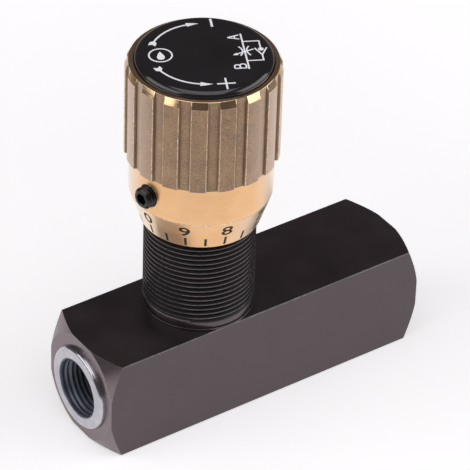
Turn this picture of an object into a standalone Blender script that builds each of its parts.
"""Flow control valve: a throttle-check valve in a square bar, with a dial knob on a threaded neck.

The origin is on the bar's underside, below the spindle. +Z runs up the spindle, +X runs along the
bar to its long end, and -Y is the front. Sizes are written in millimetres and become metres in the
few functions that make meshes.
"""

import math

import bmesh
import bpy
from mathutils import Matrix, Vector

MM = 0.001
FIT = 0.05            # clearance of a close fit, on the radius
FACE_GAP = 0.05       # clearance between two faces that rest on each other

# Bar
BAR_WIDTH = 30.0
BAR_LEFT = -37.5
BAR_RIGHT = 63.5
PORT_HEIGHT = BAR_WIDTH / 2
END_FACE_R = 15.5     # the ends are turned: a flat this big, then a cone
END_CONE_DEG = 59.0   # angle between the cone's slope and the port axis

# Passages inside the bar
SLEEVE_BORE_R = 12.0
CHAMBER_LEFT = -22.0
CHAMBER_RIGHT = -11.5
CHAMBER_R = 9.5
SEAT_MOUTH_R = 7.5
PASSAGE_R = 4.5
SEAT_END = CHAMBER_RIGHT + SEAT_MOUTH_R - PASSAGE_R
PORT_R = 7.475        # minor radius of the port thread
PORT_MOUTH_R = 8.9
PORT_DEPTH = 15.0
METERING_FLOOR = 21.0
METERING_TOP = 24.0
METERING_R = 6.0
METERING_HOLE_R = 2.5
FOOT_BORE_R = 10.0
BYPASS_R = 1.5
BYPASS_HEIGHT = (METERING_FLOOR + METERING_TOP) / 2

# Neck
NECK_R = 15.1
NECK_RING_R = 15.3
NECK_RING_THICK = 0.6
NECK_TOP = 82.0
NECK_FOOT = METERING_TOP + 2.0
PISTON_BORE_R = 7.1
STOP_HEIGHT = 45.2    # the step that the piston can't pass
SPINDLE_BORE_R = 6.1

# Spindle, at rest seven turns open
LIFT_AT_REST = 7.0
NEEDLE_R = METERING_HOLE_R - FIT
NEEDLE_TIP_R = 1.0
NEEDLE_LENGTH = 8.0
PISTON_LOW = 33.0
PISTON_HIGH = 44.0
PISTON_R = 7.0
PISTON_GROOVE_R = 5.3
PISTON_GROOVE_LOW = 38.6
PISTON_GROOVE_HIGH = 42.4
SPINDLE_R = 5.95
SPIGOT_R = 4.5

# Knob
KNOB_LOW = 58.6
DIAL_LOW_R = 16.2
DIAL_TOP = 68.0
BAND_R = 19.2
FLUTES_LOW = 79.25
FLUTES_R = 20.6
FLUTE_COUNT = 17
FLUTE_DEPTH = 0.85
FLUTE_WIDTH = 3.35
FLUTE_FIRST_DEG = 179.75
CHAMFER_LOW = 105.35
KNOB_TOP = 107.2
RIM_R = 19.6
CAP_RECESS_R = 18.35
CAP_FLOOR = 105.0
WEB_LOW = 92.0
WEB_HIGH = 101.0
KNOB_BORE_R = 15.45
CAP_TOP = 109.1

# Fixing of the knob on the spindle
PIN_R = 1.0
PIN_HEIGHT = WEB_LOW + 1.2
PIN_REACH = 7.4
SCREW_R = 2.5
SCREW_LOW = 95.0
SCREW_HEAD_R = 4.25
WASHER_R = 6.5
WASHER_THICK = 0.8

# Lock screw
LOCK_DEG = 189.4
LOCK_HEIGHT = 73.0
LOCK_R = 2.95
LOCK_OUTER = 21.7
LOCK_INNER = 16.2
SOCKET_R = 1.7

# Sleeve in the left port
SLEEVE_OUT = -39.0
SLEEVE_R = SLEEVE_BORE_R - 2 * FIT
SEAL_GROOVE_LEFT = -28.3
SEAL_GROOVE_RIGHT = -25.0
SEAL_GROOVE_R = 10.3

# Check valve
RETAINER_LEFT = -23.5
RETAINER_HUB_R = 3.2
RETAINER_HUB_END = -18.5
HEAD_R = 6.5
HEAD_THICK = 2.0
SEAT_CLEARANCE = 0.1
HEAD_RIGHT = CHAMBER_RIGHT + SEAT_MOUTH_R - HEAD_R - SEAT_CLEARANCE
HEAD_LEFT = HEAD_RIGHT - HEAD_THICK
STEM_R = 2.0
STEM_LENGTH = 8.0
SPRING_WIRE_R = 0.4
SPRING_R = 4.3
SPRING_TURNS = 4.5
DEAD_TURNS = 0.75

ROUND_STEPS = 48      # facets round a large diameter
INNER_STEPS = 32      # facets round a hidden piece
SMALL_STEPS = 20      # facets round a small one


def clear_scene():
    for obj in list(bpy.data.objects):
        bpy.data.objects.remove(obj)


def new_collection(name, hidden):
    made = bpy.data.collections.new(name)
    made.hide_render = hidden
    bpy.context.scene.collection.children.link(made)
    return made


def material(name, colour, metallic, roughness):
    made = bpy.data.materials.new(name)
    made.use_nodes = True
    shader = made.node_tree.nodes["Principled BSDF"]
    shader.inputs["Base Color"].default_value = (*colour, 1.0)
    shader.inputs["Metallic"].default_value = metallic
    shader.inputs["Roughness"].default_value = roughness
    return made


def add_mesh(name, mesh, finish):
    """Puts a mesh into the valve's collection, or among the cutters when it has no finish."""
    obj = bpy.data.objects.new(name, mesh)
    if finish:
        mesh.materials.append(finish)
        valve.objects.link(obj)
    else:
        obj.hide_render = True
        obj.display_type = "WIRE"
        cutters.objects.link(obj)
    return obj


def lie_along_x(obj):
    """Lays a piece that was turned about Z along the port axis."""
    obj.location = (0, 0, PORT_HEIGHT * MM)
    obj.rotation_euler = (0, math.radians(90), 0)
    return obj


def turned(name, profile, finish=None, steps=ROUND_STEPS):
    """A round piece. The profile is (radius, height) points, down the outer side and back up inside.

    A profile that starts on the axis is open and a solid piece. Any other is joined up to a ring.
    """
    mesh = bpy.data.meshes.new(name)
    points = [(radius * MM, 0.0, height * MM) for radius, height in profile]
    edges = [(i, i + 1) for i in range(len(points) - 1)]
    if profile[0][0] > 0:
        edges.append((len(points) - 1, 0))
    mesh.from_pydata(points, edges, [])
    obj = add_mesh(name, mesh, finish)
    screw = obj.modifiers.new("Turn", "SCREW")
    screw.axis = "Z"
    screw.steps = steps
    screw.render_steps = steps
    screw.use_merge_vertices = True
    screw.merge_threshold = 0.00001
    return obj


def box(name, low, high, finish=None):
    mesh = bpy.data.meshes.new(name)
    shape = bmesh.new()
    bmesh.ops.create_cube(shape, size=1.0)
    size = Vector(high) - Vector(low)
    middle = (Vector(high) + Vector(low)) / 2
    bmesh.ops.transform(
        shape,
        matrix=Matrix.Translation(middle * MM) @ Matrix.Diagonal((*(size * MM), 1.0)),
        verts=shape.verts,
    )
    shape.to_mesh(mesh)
    shape.free()
    return add_mesh(name, mesh, finish)


def combine(obj, other, operation="DIFFERENCE"):
    boolean = obj.modifiers.new(f"{operation.title()} {other.name}", "BOOLEAN")
    boolean.operation = operation
    boolean.solver = "EXACT"
    boolean.object = other
    return obj


def point_outward(obj, angle_deg, height):
    """Turns a piece made along Z so that it points straight out of the spindle axis."""
    obj.location = (0, 0, height * MM)
    obj.rotation_euler = (0, math.radians(90), math.radians(angle_deg))
    return obj


def ring_section(radius, height, thick_r, points=8):
    """The round section of an O-ring, as a profile."""
    turns = [math.tau * (0.25 - i / points) for i in range(points)]
    return [(radius + thick_r * math.cos(a), height + thick_r * math.sin(a)) for a in turns]


def make_body(finish):
    body = box(
        "body",
        (BAR_LEFT, -BAR_WIDTH / 2, 0),
        (BAR_RIGHT, BAR_WIDTH / 2, BAR_WIDTH),
        finish,
    )
    slope = math.tan(math.radians(END_CONE_DEG))
    corner_r = BAR_WIDTH / math.sqrt(2) + 1
    recede = (corner_r - END_FACE_R) / slope
    past_end = 1.0
    tip_r = END_FACE_R - past_end * slope
    envelope = turned("cutter_turned_ends", [
        (0, BAR_RIGHT + past_end),
        (tip_r, BAR_RIGHT + past_end),
        (corner_r, BAR_RIGHT - recede),
        (corner_r, BAR_LEFT + recede),
        (tip_r, BAR_LEFT - past_end),
        (0, BAR_LEFT - past_end),
    ])
    combine(body, lie_along_x(envelope), "INTERSECT")

    mouth_depth = PORT_MOUTH_R - PORT_R
    port_end = BAR_RIGHT - PORT_DEPTH
    drill_tip = (PORT_R - PASSAGE_R) / math.tan(math.radians(59))
    beyond = 2.0
    passage = turned("cutter_passage", [
        (0, BAR_RIGHT + beyond),
        (PORT_MOUTH_R + beyond, BAR_RIGHT + beyond),
        (PORT_R, BAR_RIGHT - mouth_depth),
        (PORT_R, port_end),
        (PASSAGE_R, port_end - drill_tip),
        (PASSAGE_R, SEAT_END),
        (SEAT_MOUTH_R, CHAMBER_RIGHT),
        (CHAMBER_R, CHAMBER_RIGHT),
        (CHAMBER_R, CHAMBER_LEFT),
        (SLEEVE_BORE_R, CHAMBER_LEFT),
        (SLEEVE_BORE_R, BAR_LEFT - beyond),
        (0, BAR_LEFT - beyond),
    ])
    combine(body, lie_along_x(passage))

    metering = turned("cutter_metering", [
        (0, BAR_WIDTH + beyond),
        (FOOT_BORE_R, BAR_WIDTH + beyond),
        (FOOT_BORE_R, METERING_TOP),
        (METERING_R, METERING_TOP),
        (METERING_R, METERING_FLOOR),
        (METERING_HOLE_R, METERING_FLOOR),
        (METERING_HOLE_R, PORT_HEIGHT + 1),
        (0, PORT_HEIGHT + 1),
    ])
    combine(body, metering)

    bypass = turned("cutter_bypass", [
        (0, -METERING_R + 1),
        (BYPASS_R, -METERING_R + 1),
        (BYPASS_R, CHAMBER_RIGHT - 1),
        (0, CHAMBER_RIGHT - 1),
    ], steps=SMALL_STEPS)
    lie_along_x(bypass)
    bypass.location.z = BYPASS_HEIGHT * MM
    combine(body, bypass)
    return body


def make_neck(finish):
    foot_r = FOOT_BORE_R - FIT
    shoulder = BAR_WIDTH + NECK_RING_THICK + 2 * FACE_GAP
    chamfer = 1.0
    return turned("neck", [
        (SPINDLE_BORE_R, NECK_TOP),
        (NECK_R - chamfer, NECK_TOP),
        (NECK_R, NECK_TOP - chamfer),
        (NECK_R, shoulder),
        (foot_r, shoulder),
        (foot_r, NECK_FOOT + chamfer),
        (foot_r - chamfer, NECK_FOOT),
        (PISTON_BORE_R, NECK_FOOT),
        (PISTON_BORE_R, STOP_HEIGHT),
        (SPINDLE_BORE_R, STOP_HEIGHT),
    ], finish)


def make_neck_washer(finish):
    low = BAR_WIDTH + FACE_GAP
    high = low + NECK_RING_THICK
    return turned("neck_washer", [
        (FOOT_BORE_R + 0.2, high),
        (NECK_RING_R - 0.15, high),
        (NECK_RING_R, high - 0.15),
        (NECK_RING_R, low),
        (FOOT_BORE_R + 0.2, low),
    ], finish)


def make_neck_o_ring(finish):
    thick_r = (NECK_FOOT - METERING_TOP) / 2 - FACE_GAP
    middle_r = FOOT_BORE_R - thick_r - FIT
    section = ring_section(middle_r, METERING_TOP + thick_r + FACE_GAP, thick_r)
    return turned("neck_o_ring", section, finish, steps=INNER_STEPS)


def make_spindle(finish):
    shoulder = METERING_FLOOR + LIFT_AT_REST + FACE_GAP
    relief_r = 5.0
    head_chamfer = 0.4
    web_gap = WEB_LOW - FACE_GAP
    spigot_top = WEB_HIGH - 0.1
    tapped_floor = SCREW_LOW - 0.4
    spindle = turned("spindle", [
        (0, tapped_floor),
        (SCREW_R, tapped_floor),
        (SCREW_R, spigot_top),
        (SPIGOT_R, spigot_top),
        (SPIGOT_R, web_gap),
        (SPINDLE_R, web_gap),
        (SPINDLE_R, PISTON_HIGH + 2),
        (relief_r, PISTON_HIGH + 2),
        (relief_r, PISTON_HIGH),
        (PISTON_R - head_chamfer, PISTON_HIGH),
        (PISTON_R, PISTON_HIGH - head_chamfer),
        (PISTON_R, PISTON_GROOVE_HIGH),
        (PISTON_GROOVE_R, PISTON_GROOVE_HIGH),
        (PISTON_GROOVE_R, PISTON_GROOVE_LOW),
        (PISTON_R, PISTON_GROOVE_LOW),
        (PISTON_R, PISTON_LOW + head_chamfer),
        (PISTON_R - head_chamfer, PISTON_LOW),
        (METERING_HOLE_R + 1, PISTON_LOW),
        (METERING_HOLE_R + 1, shoulder),
        (NEEDLE_R, shoulder),
        (NEEDLE_TIP_R, shoulder - NEEDLE_LENGTH),
        (0, shoulder - NEEDLE_LENGTH),
    ], finish, steps=INNER_STEPS)
    pin_hole = turned("cutter_pin_hole", [
        (0, SPINDLE_R + 1),
        (PIN_R + FIT, SPINDLE_R + 1),
        (PIN_R + FIT, -SPINDLE_R - 1),
        (0, -SPINDLE_R - 1),
    ], steps=SMALL_STEPS)
    point_outward(pin_hole, 0, PIN_HEIGHT)
    return combine(spindle, pin_hole)


def make_drive_pin(finish):
    chamfer = 0.2
    pin = turned("drive_pin", [
        (0, PIN_REACH),
        (PIN_R - chamfer, PIN_REACH),
        (PIN_R, PIN_REACH - chamfer),
        (PIN_R, -PIN_REACH + chamfer),
        (PIN_R - chamfer, -PIN_REACH),
        (0, -PIN_REACH),
    ], finish, steps=SMALL_STEPS)
    return point_outward(pin, 0, PIN_HEIGHT)


def make_spindle_seals(rubber, plastic):
    thick_r = (PISTON_R - PISTON_GROOVE_R) / 2 - FIT
    middle_r = PISTON_GROOVE_R + FIT + thick_r
    middle = PISTON_GROOVE_LOW + 0.2 + thick_r
    turned("spindle_o_ring", ring_section(middle_r, middle, thick_r), rubber, steps=INNER_STEPS)
    high = PISTON_GROOVE_HIGH - 0.2
    low = middle + thick_r + 0.2
    inner_r = PISTON_GROOVE_R + 2 * FIT
    outer_r = PISTON_R - FIT
    turned("spindle_backup_ring", [
        (inner_r, high),
        (outer_r, high),
        (outer_r, low),
        (inner_r, low),
    ], plastic, steps=INNER_STEPS)


def make_knob(finish):
    recess_r = WASHER_R + 1.5
    knob = turned("knob", [
        (CAP_RECESS_R, KNOB_TOP),
        (RIM_R, KNOB_TOP),
        (FLUTES_R, CHAMFER_LOW),
        (FLUTES_R, FLUTES_LOW),
        (BAND_R, FLUTES_LOW),
        (BAND_R, DIAL_TOP),
        (DIAL_LOW_R, KNOB_LOW),
        (KNOB_BORE_R, KNOB_LOW),
        (KNOB_BORE_R, WEB_LOW),
        (SPIGOT_R + FIT, WEB_LOW),
        (SPIGOT_R + FIT, WEB_HIGH),
        (recess_r, WEB_HIGH),
        (recess_r, CAP_FLOOR),
        (CAP_RECESS_R, CAP_FLOOR),
    ], finish, steps=4 * FLUTE_COUNT)
    combine(knob, make_flute_cutters())

    slot_half = PIN_R + FIT
    slot = box(
        "cutter_pin_slot",
        (-PIN_REACH - 0.2, -slot_half, WEB_LOW - 1),
        (PIN_REACH + 0.2, slot_half, PIN_HEIGHT + slot_half),
    )
    combine(knob, slot)

    lock_hole = turned("cutter_lock_hole", [
        (0, FLUTES_R + 3),
        (LOCK_R + 2 * FIT, FLUTES_R + 3),
        (LOCK_R + 2 * FIT, KNOB_BORE_R - 3),
        (0, KNOB_BORE_R - 3),
    ], steps=SMALL_STEPS)
    return combine(knob, point_outward(lock_hole, LOCK_DEG, LOCK_HEIGHT))


def make_flute_cutters():
    """One mesh with a block for each groove, standing round the knob."""
    mesh = bpy.data.meshes.new("cutter_flutes")
    shape = bmesh.new()
    floor_r = FLUTES_R - FLUTE_DEPTH
    reach = 3.0
    height = KNOB_TOP - FLUTES_LOW + 2 * reach
    for i in range(FLUTE_COUNT):
        block = bmesh.ops.create_cube(shape, size=1.0)["verts"]
        size = Matrix.Diagonal((reach * MM, FLUTE_WIDTH * MM, height * MM, 1.0))
        middle_height = (KNOB_TOP + FLUTES_LOW) / 2
        place = Matrix.Translation((MM * (floor_r + reach / 2), 0, MM * middle_height))
        angle = math.radians(FLUTE_FIRST_DEG + 360 * i / FLUTE_COUNT)
        bmesh.ops.transform(shape, matrix=Matrix.Rotation(angle, 4, "Z") @ place @ size, verts=block)
    shape.to_mesh(mesh)
    shape.free()
    return add_mesh("cutter_flutes", mesh, None)


def make_knob_cap(finish):
    """A disc with a well rounded shoulder and a very flat dome."""
    cap_r = CAP_RECESS_R - 0.1
    low = CAP_FLOOR + FACE_GAP
    shoulder_r = 2.0
    shoulder_drop = 1.7
    shoulder_high = CAP_TOP - 0.1
    bends = 5
    profile = [(0, CAP_TOP), ((cap_r - shoulder_r) / 2, CAP_TOP - 0.05)]
    for i in range(bends + 1):
        angle = math.radians(90 * (1 - i / bends))
        profile.append((
            cap_r - shoulder_r * (1 - math.cos(angle)),
            shoulder_high - shoulder_drop * (1 - math.sin(angle)),
        ))
    profile += [(cap_r, low), (0, low)]
    return turned("knob_cap", profile, finish)


def make_knob_screw(finish):
    """A cheese-head screw with a six-sided socket, down the middle of the knob."""
    head_low = WEB_HIGH + WASHER_THICK + 2 * FACE_GAP
    head_high = CAP_FLOOR - 0.1
    shank_r = SCREW_R - FIT
    chamfer = 0.3
    screw = turned("knob_screw", [
        (0, head_high),
        (SCREW_HEAD_R - chamfer, head_high),
        (SCREW_HEAD_R, head_high - chamfer),
        (SCREW_HEAD_R, head_low),
        (shank_r, head_low),
        (shank_r, SCREW_LOW + chamfer),
        (shank_r - chamfer, SCREW_LOW),
        (0, SCREW_LOW),
    ], finish, steps=SMALL_STEPS)
    socket_depth = 1.8
    socket_r = 2.3
    socket = turned("cutter_knob_screw_socket", [
        (0, head_high + 1),
        (socket_r, head_high + 1),
        (socket_r, head_high - socket_depth),
        (0, head_high - socket_depth),
    ], steps=6)
    return combine(screw, socket)


def make_knob_washer(finish):
    low = WEB_HIGH + FACE_GAP
    high = low + WASHER_THICK
    hole_r = SCREW_R + 0.2
    return turned("knob_washer", [
        (hole_r, high),
        (WASHER_R, high),
        (WASHER_R, low),
        (hole_r, low),
    ], finish, steps=INNER_STEPS)


def make_grub_screw(finish):
    chamfer = 0.5
    screw = turned("grub_screw", [
        (0, LOCK_OUTER),
        (LOCK_R - chamfer, LOCK_OUTER),
        (LOCK_R, LOCK_OUTER - chamfer),
        (LOCK_R, LOCK_INNER + chamfer),
        (LOCK_R - chamfer, LOCK_INNER),
        (0, LOCK_INNER),
    ], finish, steps=SMALL_STEPS)
    socket_depth = 2.6
    socket = turned("cutter_grub_socket", [
        (0, LOCK_OUTER + 1),
        (SOCKET_R, LOCK_OUTER + 1),
        (SOCKET_R, LOCK_OUTER - socket_depth),
        (0, LOCK_OUTER - socket_depth),
    ], steps=6)
    point_outward(socket, LOCK_DEG, LOCK_HEIGHT)
    return combine(point_outward(screw, LOCK_DEG, LOCK_HEIGHT), socket)


def make_lock_pad(finish):
    inner = NECK_R + 0.1
    outer = LOCK_INNER - FACE_GAP
    pad_r = LOCK_R - 0.1
    pad = turned("lock_pad", [
        (0, outer),
        (pad_r, outer),
        (pad_r, inner),
        (0, inner),
    ], finish, steps=SMALL_STEPS)
    return point_outward(pad, LOCK_DEG, LOCK_HEIGHT)


def make_port_sleeve(finish):
    relief_left = -27.0
    relief_r = 8.4
    mouth_depth = PORT_MOUTH_R - PORT_R
    inner_end = RETAINER_LEFT - FACE_GAP
    rounding = 0.9
    bends = 4
    profile = [(PORT_R, relief_left), (relief_r, relief_left), (relief_r, inner_end)]
    profile += [(SLEEVE_R, inner_end), (SLEEVE_R, SEAL_GROOVE_RIGHT)]
    profile += [(SEAL_GROOVE_R, SEAL_GROOVE_RIGHT), (SEAL_GROOVE_R, SEAL_GROOVE_LEFT)]
    profile += [(SLEEVE_R, SEAL_GROOVE_LEFT)]
    for i in range(bends + 1):
        angle = math.radians(90 * i / bends)
        profile.append((
            SLEEVE_R - rounding * (1 - math.cos(angle)),
            SLEEVE_OUT + rounding * (1 - math.sin(angle)),
        ))
    profile += [(PORT_MOUTH_R, SLEEVE_OUT), (PORT_R, SLEEVE_OUT + mouth_depth)]
    return lie_along_x(turned("port_sleeve", profile, finish))


def make_sleeve_seals(rubber, plastic):
    thick_r = 0.75
    o_ring = ring_section(SLEEVE_BORE_R - FIT - thick_r, SEAL_GROOVE_RIGHT - 0.1 - thick_r, thick_r)
    lie_along_x(turned("sleeve_o_ring", o_ring, rubber, steps=INNER_STEPS))
    left = SEAL_GROOVE_LEFT + 0.1
    right = left + 1.3
    outer_r = SLEEVE_R - FIT
    inner_r = SEAL_GROOVE_R + 0.1
    lie_along_x(turned("sleeve_backup_ring", [
        (inner_r, right),
        (outer_r, right),
        (outer_r, left),
        (inner_r, left),
    ], plastic, steps=INNER_STEPS))


def make_spring_retainer(finish):
    flange_r = SLEEVE_BORE_R - 0.3
    flange_right = CHAMBER_LEFT - FACE_GAP
    guide_r = STEM_R + 0.08
    retainer = turned("spring_retainer", [
        (guide_r, RETAINER_HUB_END),
        (RETAINER_HUB_R, RETAINER_HUB_END),
        (RETAINER_HUB_R, flange_right),
        (flange_r, flange_right),
        (flange_r, RETAINER_LEFT),
        (guide_r, RETAINER_LEFT),
    ], finish, steps=INNER_STEPS)
    lie_along_x(retainer)
    combine(retainer, make_retainer_holes())
    return retainer


def make_retainer_holes():
    """Six drills round the port axis, as one mesh."""
    mesh = bpy.data.meshes.new("cutter_retainer_holes")
    shape = bmesh.new()
    count = 6
    pitch_r = 6.6
    hole_r = 1.5
    for i in range(count):
        drill = bmesh.ops.create_cone(
            shape,
            cap_ends=True,
            segments=12,
            radius1=hole_r * MM,
            radius2=hole_r * MM,
            depth=4 * MM,
        )["verts"]
        angle = math.tau * i / count
        place = Vector((pitch_r * math.cos(angle), pitch_r * math.sin(angle), RETAINER_LEFT + 0.7)) * MM
        bmesh.ops.translate(shape, verts=drill, vec=place)
    shape.to_mesh(mesh)
    shape.free()
    return lie_along_x(add_mesh("cutter_retainer_holes", mesh, None))


def make_check_poppet(finish):
    nose_r = 2.5
    stem_end = HEAD_LEFT - STEM_LENGTH
    chamfer = 0.3
    return lie_along_x(turned("check_poppet", [
        (0, HEAD_RIGHT + HEAD_R - nose_r),
        (nose_r, HEAD_RIGHT + HEAD_R - nose_r),
        (HEAD_R, HEAD_RIGHT),
        (HEAD_R, HEAD_LEFT),
        (STEM_R, HEAD_LEFT),
        (STEM_R, stem_end + chamfer),
        (STEM_R - chamfer, stem_end),
        (0, stem_end),
    ], finish, steps=INNER_STEPS))


def make_check_spring(finish):
    """A coil from the retainer's flange to the poppet's head, closed at both ends."""
    start = CHAMBER_LEFT + SPRING_WIRE_R + 2 * FACE_GAP
    end = HEAD_LEFT - SPRING_WIRE_R - 2 * FACE_GAP
    dead_pitch = 2 * SPRING_WIRE_R + 0.1
    live_turns = SPRING_TURNS - 2 * DEAD_TURNS
    live_length = end - start - 2 * DEAD_TURNS * dead_pitch
    points_per_turn = 16
    total = int(SPRING_TURNS * points_per_turn)

    curve = bpy.data.curves.new("check_spring", "CURVE")
    curve.dimensions = "3D"
    curve.bevel_depth = SPRING_WIRE_R * MM
    curve.bevel_resolution = 1
    curve.use_fill_caps = True
    line = curve.splines.new("POLY")
    line.points.add(total)
    for i in range(total + 1):
        turns = i / points_per_turn
        first = min(turns, DEAD_TURNS)
        live = min(max(turns - DEAD_TURNS, 0), live_turns)
        last = max(turns - DEAD_TURNS - live_turns, 0)
        along = start + (first + last) * dead_pitch + live / live_turns * live_length
        angle = math.tau * turns
        x, y = SPRING_R * math.cos(angle), SPRING_R * math.sin(angle)
        line.points[i].co = (x * MM, y * MM, along * MM, 1.0)
    curve.materials.append(finish)
    obj = bpy.data.objects.new("check_spring", curve)
    valve.objects.link(obj)
    return lie_along_x(obj)


def keep_shape(obj):
    """Turns the modifiers' result into the piece's own mesh, with its round faces shaded smooth."""
    graph = bpy.context.evaluated_depsgraph_get()
    mesh = bpy.data.meshes.new_from_object(obj.evaluated_get(graph))
    obj.modifiers.clear()
    obj.data = mesh
    mesh.shade_smooth()
    mesh.set_sharp_from_angle(angle=math.radians(35))


clear_scene()
valve = new_collection("flow_control_valve", hidden=False)
cutters = new_collection("cutters", hidden=True)

black_steel = material("black_steel", (0.018, 0.014, 0.016), 0.6, 0.42)
black_neck = material("black_neck", (0.012, 0.011, 0.012), 0.6, 0.3)
gold_brass = material("gold_brass", (0.76, 0.55, 0.30), 1.0, 0.32)
gloss_black = material("gloss_black", (0.02, 0.018, 0.02), 0.0, 0.12)
zinc_plate = material("zinc_plate", (0.78, 0.80, 0.82), 1.0, 0.22)
dark_screw = material("dark_screw", (0.03, 0.03, 0.032), 0.8, 0.4)
ground_steel = material("ground_steel", (0.58, 0.57, 0.55), 1.0, 0.28)
spring_steel = material("spring_steel", (0.42, 0.42, 0.43), 1.0, 0.35)
seal_rubber = material("seal_rubber", (0.02, 0.02, 0.02), 0.0, 0.7)
white_plastic = material("white_plastic", (0.85, 0.84, 0.80), 0.0, 0.5)

make_body(black_steel)
make_neck(black_neck)
make_neck_washer(zinc_plate)
make_neck_o_ring(seal_rubber)
make_spindle(ground_steel)
make_drive_pin(ground_steel)
make_spindle_seals(seal_rubber, white_plastic)
make_knob(gold_brass)
make_knob_cap(gloss_black)
make_knob_screw(dark_screw)
make_knob_washer(zinc_plate)
make_grub_screw(dark_screw)
make_lock_pad(white_plastic)
make_port_sleeve(zinc_plate)
make_sleeve_seals(seal_rubber, white_plastic)
make_spring_retainer(ground_steel)
make_check_spring(spring_steel)
make_check_poppet(ground_steel)

for piece in valve.objects:
    if piece.type == "MESH":
        keep_shape(piece)
